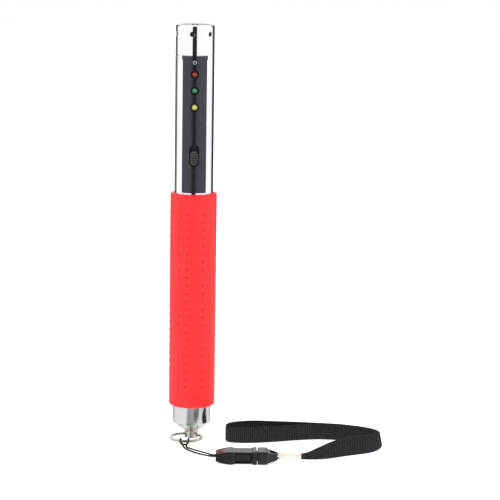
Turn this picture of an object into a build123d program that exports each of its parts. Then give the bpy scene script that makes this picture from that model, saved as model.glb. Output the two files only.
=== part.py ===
"""A hand-held traffic baton light with a lanyard: a polished tube in a dotted rubber grip sleeve,
a ported head with a lamp, three status lamps and a slide switch in a black window panel, a
screw-on end cap with a swivel post and split ring, and a wrist strap on a quick-release buckle.

Millimetres. Z is the baton's axis, the origin is the centre of the swivel post's flat end, on
which the baton stands. The window panel faces -Y and the lanyard lies towards +X.
"""

from build123d import *
from math import pi, radians, tan
import os

os.makedirs("parts", exist_ok=True)

# ---- driving dimensions -------------------------------------------------------------------
tube_r = 15.0
tube_bore_r = 13.5
sleeve_r = 18.0
overall_height = 324.5

post_r = 5.6
post_top = 6.6
flange_r = 8.5
flange_bottom = 8.1
flange_top = 8.9
cap_bottom = 9.2
cap_chamfer_top = 12.8
cap_bottom_r = 9.8
cap_round = 3.5
cap_shoulder = 27.0
spigot_top = 37.0
spigot_r = 13.42
gasket_thickness = 1.0
tube_bottom = cap_shoulder + gasket_thickness
tube_top = 301.2
head_bottom = 301.3

sleeve_bottom = 27.1
sleeve_top = 195.0

window_bottom = 196.3
window_half = 9.25
window_flare_half = 9.8
window_flare_height = 3.3
panel_gap = 0.1
panel_inner_r = 13.6
lamp_heights = {"red": 287.2, "green": 274.9, "yellow": 262.2}
lamp_r = 2.5
lamp_hole_r = 3.4
screw_height = 296.2
slot_width = 7.8
slot_bottom = 216.7
slot_top = 233.8
knob_bottom = 217.9
knob_height = 10.7
knob_width = 6.4

port_height = 317.5
port_r = 1.8
port_chamfer = 0.35
port_count = 6
port_azimuth = 9.0

cell_r = 13.1
cell_length = 50.0
cell_count = 3
cell_bottom = 37.6
cells_top = cell_bottom + cell_count * cell_length

board_front = -7.0
board_back = -5.4

ring_x, ring_y, ring_z = -4.0, -11.0, 2.5
ring_outer_r = 13.0
ring_inner_r = 11.2
ring_height = 2.0
cord_d = 1.3

buckle_y, buckle_z = -73.2, 5.0
buckle_width = 15.4
buckle_thick = 10.0
socket_left, socket_right = 18.4, 49.4
plug_left, plug_right = 50.1, 65.0
ferrule_left, ferrule_right = 66.0, 83.0
ferrule_r = 2.5
strap_width = 15.0
web_thick = 1.2
web_pair = 2.4


# ---- end cap, swivel and ring -------------------------------------------------------------
stem_r = 2.5
stem_bore_r = 2.56
clip_floor = 18.0
plate_floor = 22.0
clip_room_r = 9.0
cap_bore_r = 11.0
thread_pitch = 1.5
thread_depth = 0.5
thread_bottom = 29.4
thread_turns = 5
plate_thickness = 1.0
plate_hole_r = 1.5

with BuildPart() as end_cap:
    with BuildSketch(Plane.XZ):
        with BuildLine():
            Polyline(
                (stem_bore_r, cap_bottom),
                (cap_bottom_r, cap_bottom),
                (tube_r, cap_chamfer_top),
                (tube_r, cap_shoulder),
                (spigot_r, cap_shoulder),
                (spigot_r, spigot_top),
                (cap_bore_r, spigot_top),
                (cap_bore_r, plate_floor),
                (clip_room_r, plate_floor),
                (clip_room_r, clip_floor),
                (stem_bore_r, clip_floor),
                close=True,
            )
        make_face()
    revolve(axis=Axis.Z)
    outer_edges = end_cap.edges().filter_by(GeomType.CIRCLE)
    chamfer(outer_edges.group_by(Axis.Z)[-1].sort_by(SortBy.RADIUS)[-1], 0.6)
    fillet(outer_edges.group_by(Axis.Z)[1], cap_round)
    fillet(outer_edges.group_by(Axis.Z)[0].sort_by(SortBy.RADIUS)[-1], 0.3)
    # Valleys of the coarse thread on the spigot.
    with BuildSketch(Plane.XZ):
        for turn in range(thread_turns):
            with Locations((spigot_r, thread_bottom + turn * thread_pitch)):
                Rectangle(2 * thread_depth, 0.55 * thread_pitch)
    revolve(axis=Axis.Z, mode=Mode.SUBTRACT)
end_cap.part.label = "end_cap"
export_step(end_cap.part, "parts/end_cap.step")

with BuildPart() as spring_plate:
    with BuildSketch(Plane.XY.offset(plate_floor)):
        Circle(cap_bore_r - 0.1)
        Circle(plate_hole_r, mode=Mode.SUBTRACT)
    extrude(amount=plate_thickness)
spring_plate.part.label = "spring_plate"
export_step(spring_plate.part, "parts/spring_plate.step")

spring_wire = 0.9
spring_r = 5.5
spring_bottom = plate_floor + plate_thickness
spring_pitch = 2.9
coil_gap = 0.05
spring_height = cell_bottom - spring_bottom - spring_wire - 2 * coil_gap
with BuildPart() as cap_spring:
    with BuildLine(Plane.XY.offset(spring_bottom + spring_wire / 2 + coil_gap)) as coil:
        Helix(pitch=spring_pitch, height=spring_height, radius=spring_r)
    with BuildSketch(Plane(origin=coil.line @ 0, z_dir=coil.line % 0)):
        Circle(spring_wire / 2)
    sweep(is_frenet=True)
cap_spring.part.label = "cap_spring"
export_step(cap_spring.part, "parts/cap_spring.step")

with BuildPart() as cap_gasket:
    with BuildSketch(Plane.XY.offset(cap_shoulder)):
        Circle(tube_r - 0.05)
        Circle(tube_bore_r, mode=Mode.SUBTRACT)
    extrude(amount=gasket_thickness)
cap_gasket.part.label = "cap_gasket"
export_step(cap_gasket.part, "parts/cap_gasket.step")

clip_bottom = 18.3
clip_top = 19.1
clip_groove_r = 2.1
clip_r = 4.2
clip_mouth = 2.6
clip_mouth_depth = 6.0
clip_play = 0.05
stem_top = 20.0
ring_slot_bottom, ring_slot_top = 0.6, 4.5
ring_slot_front, ring_slot_back = -4.4, 2.9

with BuildPart() as swivel_post:
    with BuildSketch(Plane.XZ):
        with BuildLine():
            Polyline(
                (0, 0),
                (post_r, 0),
                (post_r, post_top),
                (flange_r, flange_bottom),
                (flange_r, flange_top),
                (stem_r, flange_top),
                (stem_r, clip_bottom),
                (clip_groove_r, clip_bottom),
                (clip_groove_r, clip_top),
                (stem_r, clip_top),
                (stem_r, stem_top),
                (0, stem_top),
                close=True,
            )
        make_face()
    revolve(axis=Axis.Z)
    rims = swivel_post.edges().filter_by(GeomType.CIRCLE)
    fillet(rims.filter_by(lambda rim: abs(rim.radius - flange_r) < 0.01), 0.3)
    chamfer(rims.filter_by(lambda rim: abs(rim.radius - post_r) < 0.01).sort_by(Axis.Z)[0], 0.4)
    with BuildSketch(Plane.YZ):
        with Locations(((ring_slot_front + ring_slot_back) / 2, (ring_slot_bottom + ring_slot_top) / 2)):
            RectangleRounded(ring_slot_back - ring_slot_front, ring_slot_top - ring_slot_bottom, 1.6)
    extrude(amount=post_r + 1, both=True, mode=Mode.SUBTRACT)
swivel_post.part.label = "swivel_post"
export_step(swivel_post.part, "parts/swivel_post.step")

with BuildPart() as swivel_clip:
    with BuildSketch(Plane.XY.offset(clip_bottom + clip_play)):
        Circle(clip_r)
        Circle(clip_groove_r, mode=Mode.SUBTRACT)
        with Locations((clip_r, 0)):
            Rectangle(clip_mouth_depth, clip_mouth, mode=Mode.SUBTRACT)
    extrude(amount=clip_top - clip_bottom - 2 * clip_play)
swivel_clip.part.label = "swivel_clip"
export_step(swivel_clip.part, "parts/swivel_clip.step")

seam_depth = 0.35
seam_half = 0.12
ring_half = ring_height / 2
with BuildPart() as split_ring:
    with BuildSketch(Plane.XZ.offset(-ring_y)):
        with BuildLine():
            Polyline(
                (ring_x + ring_inner_r, ring_z - ring_half),
                (ring_x + ring_outer_r, ring_z - ring_half),
                (ring_x + ring_outer_r, ring_z - seam_half),
                (ring_x + ring_outer_r - seam_depth, ring_z),
                (ring_x + ring_outer_r, ring_z + seam_half),
                (ring_x + ring_outer_r, ring_z + ring_half),
                (ring_x + ring_inner_r, ring_z + ring_half),
                (ring_x + ring_inner_r, ring_z + seam_half),
                (ring_x + ring_inner_r + seam_depth, ring_z),
                (ring_x + ring_inner_r, ring_z - seam_half),
                close=True,
            )
        make_face()
    revolve(axis=Axis((ring_x, ring_y, 0), (0, 0, 1)))
    ring_rims = split_ring.edges().filter_by(GeomType.CIRCLE)
    fillet(ring_rims.group_by(Axis.Z)[0] + ring_rims.group_by(Axis.Z)[-1], 0.3)
split_ring.part.label = "split_ring"
export_step(split_ring.part, "parts/split_ring.step")

# ---- barrel: tube, sleeve, window panel ---------------------------------------------------
front = Plane.XZ
front_depth = 20.0

with BuildPart() as main_tube:
    with BuildSketch(Plane.XY.offset(tube_bottom)):
        Circle(tube_r)
        Circle(tube_bore_r, mode=Mode.SUBTRACT)
    extrude(amount=tube_top - tube_bottom)
    with BuildSketch(front):
        with BuildLine():
            Polyline(
                (-window_half, window_bottom),
                (window_half, window_bottom),
                (window_half, tube_top - window_flare_height),
                (window_flare_half, tube_top - window_flare_height + 0.6),
                (window_flare_half, tube_top + 1),
                (-window_flare_half, tube_top + 1),
                (-window_flare_half, tube_top - window_flare_height + 0.6),
                (-window_half, tube_top - window_flare_height),
                close=True,
            )
        make_face()
    extrude(amount=front_depth, mode=Mode.SUBTRACT)
    top_rim = main_tube.edges().group_by(Axis.Z)[-1].filter_by(GeomType.CIRCLE)
    chamfer(top_rim.sort_by(SortBy.RADIUS)[-1], 0.25)
main_tube.part.label = "main_tube"
export_step(main_tube.part, "parts/main_tube.step")

with BuildPart() as grip_sleeve:
    with BuildSketch(Plane.XY.offset(sleeve_bottom)):
        Circle(sleeve_r)
        Circle(tube_r, mode=Mode.SUBTRACT)
    extrude(amount=sleeve_top - sleeve_bottom)
    sleeve_circles = grip_sleeve.edges().filter_by(GeomType.CIRCLE)
    sleeve_rims = sleeve_circles.filter_by(lambda rim: abs(rim.radius - sleeve_r) < 0.01).sort_by(Axis.Z)
    fillet(sleeve_rims[0], 1.6)
    fillet(sleeve_rims[-1], 1.0)
grip_sleeve.part.label = "grip_sleeve"
export_step(grip_sleeve.part, "parts/grip_sleeve.step")

panel_bottom = window_bottom + panel_gap
panel_top = tube_top - panel_gap
panel_half = window_half - panel_gap
panel_flare_half = window_flare_half - panel_gap
screw_head_r = 1.75
screw_head_height = 0.85
screw_dome = 0.75
screw_shank_r = 1.0
screw_seat = tube_r - 0.9
screw_tip = 11.7
with BuildPart() as window_panel:
    with BuildSketch(Plane.XY.offset(panel_bottom)):
        Circle(tube_r)
        Circle(panel_inner_r, mode=Mode.SUBTRACT)
    extrude(amount=panel_top - panel_bottom)
    with BuildSketch(front):
        with BuildLine():
            Polyline(
                (-panel_half, panel_bottom),
                (panel_half, panel_bottom),
                (panel_half, panel_top - window_flare_height + 0.2),
                (panel_flare_half, panel_top - window_flare_height + 0.8),
                (panel_flare_half, panel_top),
                (-panel_flare_half, panel_top),
                (-panel_flare_half, panel_top - window_flare_height + 0.8),
                (-panel_half, panel_top - window_flare_height + 0.2),
                close=True,
            )
        make_face()
    extrude(amount=front_depth, mode=Mode.INTERSECT)
    long_edges = window_panel.edges().filter_by(Axis.Z).group_by(SortBy.LENGTH)[-1]
    chamfer(long_edges.sort_by(Axis.Y)[0:2], 0.35)
    with BuildSketch(front):
        with Locations(*[(0, height) for height in lamp_heights.values()]):
            Circle(lamp_hole_r)
        with Locations((0, (slot_bottom + slot_top) / 2)):
            SlotOverall(slot_top - slot_bottom, slot_width, rotation=90)
        with Locations((0, screw_height)):
            Circle(screw_shank_r + 0.1)
    extrude(amount=front_depth, mode=Mode.SUBTRACT)
    with BuildSketch(front.offset(screw_seat)):
        with Locations((0, screw_height)):
            Circle(screw_head_r + 0.35)
    extrude(amount=2.0, mode=Mode.SUBTRACT)
window_panel.part.label = "window_panel"
export_step(window_panel.part, "parts/window_panel.step")

with BuildPart() as panel_screw:
    with BuildSketch(front.offset(screw_seat)):
        with Locations((0, screw_height)):
            Circle(screw_head_r)
    extrude(amount=screw_head_height)
    fillet(panel_screw.edges().sort_by(Axis.Y)[0], screw_dome)
    with BuildSketch(front.offset(screw_tip)):
        with Locations((0, screw_height)):
            Circle(screw_shank_r)
    extrude(amount=screw_seat - screw_tip)
panel_screw.part.label = "panel_screw"
export_step(panel_screw.part, "parts/panel_screw.step")

# ---- head: cap with ports, lens, reflector, lamp board, sounder ---------------------------
head_spigot_bottom = 294.0
head_spigot_r = 13.45
head_step = 306.4
head_bore_r = 12.5
head_step_r = 11.5
lens_opening_r = 11.0
lens_seat = 323.3
lens_thickness = 2.0
gasket_height = 1.0
lens_gasket_bore_r = 10.2
top_round = 1.8


def is_port_rim(edge):
    """An outer rim of a side port."""
    start = edge @ 0
    on_skin = abs((start.X**2 + start.Y**2) ** 0.5 - tube_r) < 0.01
    return on_skin and abs(start.Z - port_height) < port_r + 0.01


with BuildPart() as head_cap:
    with BuildSketch(Plane.XZ):
        with BuildLine():
            Polyline(
                (head_step_r, head_spigot_bottom),
                (head_spigot_r, head_spigot_bottom),
                (head_spigot_r, head_bottom),
                (tube_r, head_bottom),
                (tube_r, overall_height),
                (lens_opening_r, overall_height),
                (lens_opening_r, lens_seat),
                (head_bore_r, lens_seat),
                (head_bore_r, head_step),
                (head_step_r, head_step),
                close=True,
            )
        make_face()
    revolve(axis=Axis.Z)
    head_rims = head_cap.edges().filter_by(GeomType.CIRCLE)
    outer_rims = head_rims.filter_by(lambda rim: abs(rim.radius - tube_r) < 0.01).sort_by(Axis.Z)
    fillet(outer_rims[-1], top_round)
    chamfer(outer_rims[0], 0.25)
    for port in range(port_count):
        radial = Plane.XZ.rotated((0, 0, port * 360 / port_count - port_azimuth))
        with BuildSketch(radial):
            with Locations((0, port_height)):
                Circle(port_r)
        extrude(amount=front_depth, mode=Mode.SUBTRACT)
    port_rims = head_cap.edges().filter_by(is_port_rim)
    chamfer(port_rims, port_chamfer)
    with BuildSketch(front):
        with Locations((0, screw_height)):
            Circle(screw_shank_r)
    extrude(amount=front_depth, mode=Mode.SUBTRACT)
head_cap.part.label = "head_cap"
export_step(head_cap.part, "parts/head_cap.step")

with BuildPart() as lens:
    with BuildSketch(Plane.XY.offset(lens_seat - lens_thickness)):
        Circle(head_bore_r - 0.1)
    extrude(amount=lens_thickness)
    chamfer(lens.edges().filter_by(GeomType.CIRCLE), 0.2)
lens.part.label = "lens"
export_step(lens.part, "parts/lens.step")

with BuildPart() as lens_gasket:
    with BuildSketch(Plane.XY.offset(lens_seat - lens_thickness - gasket_height)):
        Circle(head_bore_r - 0.1)
        Circle(lens_gasket_bore_r, mode=Mode.SUBTRACT)
    extrude(amount=gasket_height)
lens_gasket.part.label = "lens_gasket"
export_step(lens_gasket.part, "parts/lens_gasket.step")

board_thick = 1.6
led_board_bottom = head_step
led_board_top = head_step + board_thick
reflector_top = lens_seat - lens_thickness - gasket_height
reflector_wall = 0.9
reflector_neck_r = 2.4
reflector_foot_r = 4.6
reflector_mouth_r = 10.0
reflector_rim_r = 11.8
with BuildPart() as reflector:
    with BuildSketch(Plane.XZ):
        with BuildLine():
            Polyline(
                (reflector_neck_r, led_board_top),
                (reflector_foot_r, led_board_top),
                (reflector_foot_r, led_board_top + 1.5),
                (reflector_mouth_r, reflector_top - reflector_wall),
                (reflector_rim_r, reflector_top - reflector_wall),
                (reflector_rim_r, reflector_top),
                (reflector_mouth_r, reflector_top),
                (reflector_neck_r, led_board_top + 1.8),
                close=True,
            )
        make_face()
    revolve(axis=Axis.Z)
reflector.part.label = "reflector"
export_step(reflector.part, "parts/reflector.step")

with BuildPart() as led_board:
    with BuildSketch(Plane.XY.offset(led_board_bottom)):
        Circle(head_bore_r - 0.1)
    extrude(amount=board_thick)
led_board.part.label = "led_board"
export_step(led_board.part, "parts/led_board.step")

led_side = 3.0
led_base = 0.7
led_dome_r = 1.3
led_dome_height = 1.0
with BuildPart() as torch_led:
    with BuildSketch(Plane.XY.offset(led_board_top)):
        Rectangle(led_side, led_side)
    extrude(amount=led_base)
    with BuildSketch(Plane.XY.offset(led_board_top + led_base)):
        Circle(led_dome_r)
    extrude(amount=led_dome_height)
    fillet(torch_led.edges().sort_by(Axis.Z)[-1], led_dome_height - 0.1)
torch_led.part.label = "torch_led"
export_step(torch_led.part, "parts/torch_led.step")

with BuildPart() as port_screen:
    with BuildSketch(Plane.XY.offset(led_board_top + 0.2)):
        Circle(head_bore_r - 0.05)
        Circle(head_bore_r - 0.5, mode=Mode.SUBTRACT)
    extrude(amount=reflector_top - led_board_top - 0.4)
port_screen.part.label = "port_screen"
export_step(port_screen.part, "parts/port_screen.step")

sounder_bottom = 299.2
sounder_r = 8.0
sounder_hole_r = 1.2
with BuildPart() as sounder:
    with BuildSketch(Plane.XY.offset(sounder_bottom)):
        Circle(sounder_r)
    extrude(amount=led_board_bottom - sounder_bottom)
    with BuildSketch(Plane.XY.offset(sounder_bottom)):
        Circle(sounder_hole_r)
    extrude(amount=1.5, mode=Mode.SUBTRACT)
sounder.part.label = "sounder"
export_step(sounder.part, "parts/sounder.step")

# ---- electronics behind the panel ---------------------------------------------------------
board_half = 9.0
board_bottom, board_top = 200.0, 290.0
carrier_r, carrier_inner_r = 13.3, 12.1
carrier_bottom, carrier_top = 191.6, 293.8
boss_heights = (208.0, 246.0, 284.0)
boss_r = 2.6
board_screw_r = 0.98
board_screw_head_r = 1.9
board_screw_depth = 7.0

with BuildPart() as board_carrier:
    with BuildSketch(Plane.XY.offset(carrier_bottom)):
        Circle(carrier_r)
        Circle(carrier_inner_r, mode=Mode.SUBTRACT)
        with Locations((0, -10 + board_back)):
            Rectangle(40, 20, mode=Mode.SUBTRACT)
    extrude(amount=carrier_top - carrier_bottom)
    with BuildSketch(Plane.XZ.offset(-board_back)):
        with Locations(*[(0, height) for height in boss_heights]):
            Circle(boss_r)
    extrude(amount=-(carrier_inner_r + 0.6 - board_back))
    with BuildSketch(Plane.XZ.offset(-board_back)):
        with Locations(*[(0, height) for height in boss_heights]):
            Circle(board_screw_r + 0.02)
    extrude(amount=-board_screw_depth, mode=Mode.SUBTRACT)
board_carrier.part.label = "board_carrier"
export_step(board_carrier.part, "parts/board_carrier.step")

with BuildPart() as control_board:
    with BuildSketch(Plane.XZ.offset(-board_back)):
        with Locations((0, (board_bottom + board_top) / 2)):
            RectangleRounded(2 * board_half, board_top - board_bottom, 1.0)
        with Locations(*[(0, height) for height in boss_heights]):
            Circle(board_screw_r + 0.12, mode=Mode.SUBTRACT)
    extrude(amount=board_back - board_front)
control_board.part.label = "control_board"
export_step(control_board.part, "parts/control_board.step")

with BuildPart() as board_screws:
    for height in boss_heights:
        with BuildSketch(Plane.XZ.offset(-board_front)):
            with Locations((0, height)):
                Circle(board_screw_head_r)
        extrude(amount=1.0)
        with BuildSketch(Plane.XZ.offset(-board_front)):
            with Locations((0, height)):
                Circle(board_screw_r)
        extrude(amount=-board_screw_depth)
board_screws.part.label = "board_screws"
export_step(board_screws.part, "parts/board_screws.step")

guide_front, guide_back = -12.3, -9.0
guide_half = 4.9
guide_height = 34.0
with BuildPart() as lamp_guide:
    with BuildSketch(Plane.XZ.offset(-guide_back)):
        with Locations((0, lamp_heights["green"])):
            RectangleRounded(2 * guide_half, guide_height, 2.0)
        with Locations(*[(0, height) for height in lamp_heights.values()]):
            Circle(lamp_r + 0.05, mode=Mode.SUBTRACT)
    extrude(amount=guide_back - guide_front)
lamp_guide.part.label = "lamp_guide"
export_step(lamp_guide.part, "parts/lamp_guide.step")

lamp_tip = 14.3
lamp_collar_r = 2.9
lamp_collar_back = 8.0
lead_r = 0.25
lead_half_pitch = 1.27
for colour, height in lamp_heights.items():
    with BuildPart() as status_lamp:
        with BuildSketch(Plane.XZ.offset(-guide_back)):
            with Locations((0, height)):
                Circle(lamp_r)
        extrude(amount=lamp_tip + guide_back)
        fillet(status_lamp.edges().sort_by(Axis.Y)[0], lamp_r - 0.05)
        with BuildSketch(Plane.XZ.offset(lamp_collar_back)):
            with Locations((0, height)):
                Circle(lamp_collar_r)
        extrude(amount=-guide_back - lamp_collar_back)
        with BuildSketch(Plane.XZ.offset(-board_front)):
            with Locations((-lead_half_pitch, height), (lead_half_pitch, height)):
                Circle(lead_r)
        extrude(amount=lamp_collar_back + board_front)
    status_lamp.part.label = f"status_lamp_{colour}"
    export_step(status_lamp.part, f"parts/status_lamp_{colour}.step")

switch_travel = 5.0
knob_centre = knob_bottom + knob_height / 2
switch_centre = knob_centre + switch_travel / 2
switch_front = 10.4
switch_floor = 8.3
lever_half = 1.2
lever_height = 3.0
with BuildPart() as switch_body:
    with BuildSketch(Plane.XZ.offset(-board_front)):
        with Locations((0, switch_centre)):
            RectangleRounded(8.0, 17.0, 0.6)
    extrude(amount=switch_front + board_front)
    with BuildSketch(Plane.XZ.offset(switch_floor)):
        with Locations((0, switch_centre)):
            Rectangle(2 * lever_half + 0.4, lever_height + switch_travel + 0.6)
    extrude(amount=5.0, mode=Mode.SUBTRACT)
switch_body.part.label = "switch_body"
export_step(switch_body.part, "parts/switch_body.step")

shutter_front, shutter_back = 12.1, 11.3
shutter_width, shutter_height = 8.8, 24.0
lever_tip = switch_floor + 0.3
knob_front = 15.1
rib_count = 5
rib_pitch = 1.7
with BuildPart() as switch_knob:
    with BuildSketch(Plane.XZ.offset(shutter_front)):
        with Locations((0, knob_centre)):
            SlotOverall(knob_height, knob_width, rotation=90)
    extrude(amount=knob_front - shutter_front)
    fillet(switch_knob.faces().sort_by(Axis.Y)[0].edges(), 0.4)
    with BuildSketch(Plane.XZ.offset(knob_front - 0.55)):
        for rib in range(rib_count):
            with Locations((0, knob_centre + (rib - (rib_count - 1) / 2) * rib_pitch)):
                Rectangle(knob_width + 1, rib_pitch / 2)
    extrude(amount=2.0, mode=Mode.SUBTRACT)
    with BuildSketch(Plane.XZ.offset(shutter_back)):
        with Locations((0, knob_centre)):
            RectangleRounded(shutter_width, shutter_height, 1.0)
    extrude(amount=shutter_front - shutter_back)
    with BuildSketch(Plane.XZ.offset(lever_tip)):
        with Locations((0, knob_centre)):
            Rectangle(2 * lever_half, lever_height)
    extrude(amount=shutter_back - lever_tip)
switch_knob.part.label = "switch_knob"
export_step(switch_knob.part, "parts/switch_knob.step")

# ---- battery train in the grip ------------------------------------------------------------
nub_height = 1.5
nub_r = 2.9
for cell in range(cell_count):
    floor = cell_bottom + cell * cell_length
    with BuildPart() as battery_cell:
        with BuildSketch(Plane.XY.offset(floor)):
            Circle(cell_r)
        extrude(amount=cell_length - nub_height)
        chamfer(battery_cell.edges().filter_by(GeomType.CIRCLE), 0.6)
        with BuildSketch(Plane.XY.offset(floor + cell_length - nub_height)):
            Circle(nub_r)
        extrude(amount=nub_height)
    battery_cell.part.label = f"battery_cell_{cell + 1}"
    export_step(battery_cell.part, f"parts/battery_cell_{cell + 1}.step")

with BuildPart() as battery_liner:
    with BuildSketch(Plane.XY.offset(cell_bottom)):
        Circle(tube_bore_r - 0.1)
        Circle(cell_r + 0.05, mode=Mode.SUBTRACT)
    extrude(amount=cells_top - cell_bottom)
battery_liner.part.label = "battery_liner"
export_step(battery_liner.part, "parts/battery_liner.step")

bulkhead_bottom = cells_top + 0.8
bulkhead_top = carrier_bottom
contact_r = 1.5
contact_head_r = 3.6
contact_rise = 0.6
with BuildPart() as battery_bulkhead:
    with BuildSketch(Plane.XY.offset(bulkhead_bottom)):
        Circle(tube_bore_r - 0.05)
        Circle(contact_r, mode=Mode.SUBTRACT)
    extrude(amount=bulkhead_top - bulkhead_bottom)
battery_bulkhead.part.label = "battery_bulkhead"
export_step(battery_bulkhead.part, "parts/battery_bulkhead.step")

with BuildPart() as positive_contact:
    with BuildSketch(Plane.XY.offset(cells_top)):
        Circle(contact_head_r)
    extrude(amount=bulkhead_bottom - cells_top)
    with BuildSketch(Plane.XY.offset(cells_top)):
        Circle(contact_r)
    extrude(amount=bulkhead_top - cells_top + contact_rise)
positive_contact.part.label = "positive_contact"
export_step(positive_contact.part, "parts/positive_contact.step")

strip_thick = 0.4
strip_floor = bulkhead_top + contact_rise
strip_top = board_bottom + 4.0
strip_back = 2.0
strip_half = 2.0
with BuildPart() as contact_strip:
    with BuildSketch(Plane.YZ):
        with BuildLine():
            Polyline(
                (strip_back, strip_floor),
                (strip_back, strip_floor + strip_thick),
                (board_back + strip_thick, strip_floor + strip_thick),
                (board_back + strip_thick, strip_top),
                (board_back, strip_top),
                (board_back, strip_floor),
                close=True,
            )
        make_face()
    extrude(amount=strip_half, both=True)
contact_strip.part.label = "contact_strip"
export_step(contact_strip.part, "parts/contact_strip.step")

# ---- lanyard: cord, buckle, ferrule and wrist strap ---------------------------------------
# Two strands run side by side from the buckle and under the split ring. The cord's bight comes up
# through the eye, over the ring and back across the strands, as in a loose cow hitch.
cord_route = (
    (socket_left, -73.6, 4.6),
    (15.2, -73.6, 4.6),
    (10.6, -62.9, 2.6),
    (5.0, -54.4, 1.4),
    (-1.8, -43.4, 0.9),
    (-5.3, -36.6, 0.8),
    (-6.4, -30.0, 0.75),
    (-7.0, -25.0, 0.75),
    (-7.6, -20.1, 0.75),
    (-8.4, -20.1, 4.45),
    (-8.7, -24.3, 4.45),
    (-8.7, -27.2, 2.9),
    (-7.6, -31.0, 2.3),
    (-5.2, -32.6, 2.3),
    (-3.0, -30.6, 2.5),
    (-2.0, -27.2, 3.1),
    (-2.1, -24.9, 4.45),
    (-2.3, -20.9, 4.45),
    (-2.9, -20.9, 0.75),
    (-3.3, -25.4, 0.75),
    (-3.9, -30.0, 0.75),
    (-3.6, -36.2, 1.2),
    (-0.6, -42.6, 2.1),
    (6.2, -53.6, 2.9),
    (11.8, -62.1, 4.0),
    (15.2, -72.4, 5.4),
    (socket_left, -72.4, 5.4),
)


def bend_radii(points, share=0.45):
    """Largest tangent arc at each inner point: a share of the shorter run on either side."""
    radii = []
    for before, here, after in zip(points, points[1:], points[2:]):
        run_in = Vector(*here) - Vector(*before)
        run_out = Vector(*after) - Vector(*here)
        half_turn = run_in.get_angle(run_out) / 2
        radii.append(share * min(run_in.length, run_out.length) / tan(radians(half_turn)))
    return radii


cord_radii = bend_radii(cord_route)
with BuildPart() as lanyard_cord:
    with BuildLine():
        cord_path = FilletPolyline(*cord_route, radius=cord_radii)
    with BuildSketch(Plane(origin=cord_path @ 0, z_dir=cord_path % 0)):
        Circle(cord_d / 2)
    sweep()
lanyard_cord.part.label = "lanyard_cord"
export_step(lanyard_cord.part, "parts/lanyard_cord.step")
cord_length = cord_path.length
section = pi * cord_d**2 / 4
print("cord radii", [round(radius, 2) for radius in cord_radii])
print("cord length", round(cord_length, 2), "volume", round(lanyard_cord.part.volume, 2), "expected",
      round(cord_length * section, 2))


half_width = buckle_width / 2
half_thick = buckle_thick / 2
socket_flange = 2.9
socket_bulge = 30.8
socket_waist_half = 6.7
socket_end_half = 5.6
socket_end_thick = 2.9
socket_waist_thick = 4.5
socket_waist_run = 2.4
cavity_left = 24.0
cavity_half = 5.9
cavity_thick = 2.9
window_left, window_right = 32.6, 45.6
window_thick = 3.6
edge_round = 0.5


def socket_outline(half_left, half_bulge, half_waist):
    """Plan or side outline of the socket: swelling from its cord end, a waist, then a flange."""
    flange_left = socket_right - socket_flange
    Line((socket_left, 0), (socket_left, half_left))
    ThreePointArc(
        (socket_left, half_left),
        ((socket_left + socket_bulge) / 2, half_left + 0.72 * (half_bulge - half_left)),
        (socket_bulge, half_bulge),
    )
    Polyline(
        (socket_bulge, half_bulge),
        (socket_bulge + socket_waist_run, half_waist),
        (flange_left - 0.4, half_waist),
        (flange_left, half_bulge),
        (socket_right, half_bulge),
        (socket_right, 0),
    )
    mirror(about=Plane.XZ)


buckle_plan = Plane(origin=(0, buckle_y, buckle_z))
buckle_side = Plane(origin=(0, buckle_y, buckle_z), x_dir=(1, 0, 0), z_dir=(0, -1, 0))
buckle_end = Plane(origin=(0, buckle_y, buckle_z), x_dir=(0, 1, 0), z_dir=(1, 0, 0))

with BuildPart() as buckle_socket:
    with BuildSketch(buckle_plan):
        with BuildLine():
            socket_outline(socket_end_half, half_width, socket_waist_half)
        make_face()
    extrude(amount=half_thick, both=True)
    with BuildSketch(buckle_side):
        with BuildLine():
            socket_outline(socket_end_thick, half_thick, socket_waist_thick)
        make_face()
    extrude(amount=half_width + 1, both=True, mode=Mode.INTERSECT)
    fillet(buckle_socket.edges(), edge_round)
    with BuildSketch(buckle_end.offset(cavity_left)):
        Rectangle(2 * cavity_half, 2 * cavity_thick)
    extrude(amount=socket_right - cavity_left, mode=Mode.SUBTRACT)
    with BuildSketch(buckle_side):
        with Locations(((window_left + window_right) / 2, 0)):
            RectangleRounded(window_right - window_left, 2 * window_thick, 1.2)
    extrude(amount=half_width + 1, both=True, mode=Mode.SUBTRACT)
buckle_socket.part.label = "buckle_socket"
export_step(buckle_socket.part, "parts/buckle_socket.step")

plug_block_right = 57.6
prong_tip = 27.0
prong_outer = 5.65
prong_inner = 3.9
prong_thick = 2.5
tongue_half = 1.4
web_bar_left, web_bar_right = 62.9, 64.9
web_bar_half_thick = 1.4
web_hole_left = 59.4
web_hole_half = 3.3
neck_half = 6.9
neck_end_half = 4.4
neck_thick = 4.2
neck_end_thick = 2.3

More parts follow.
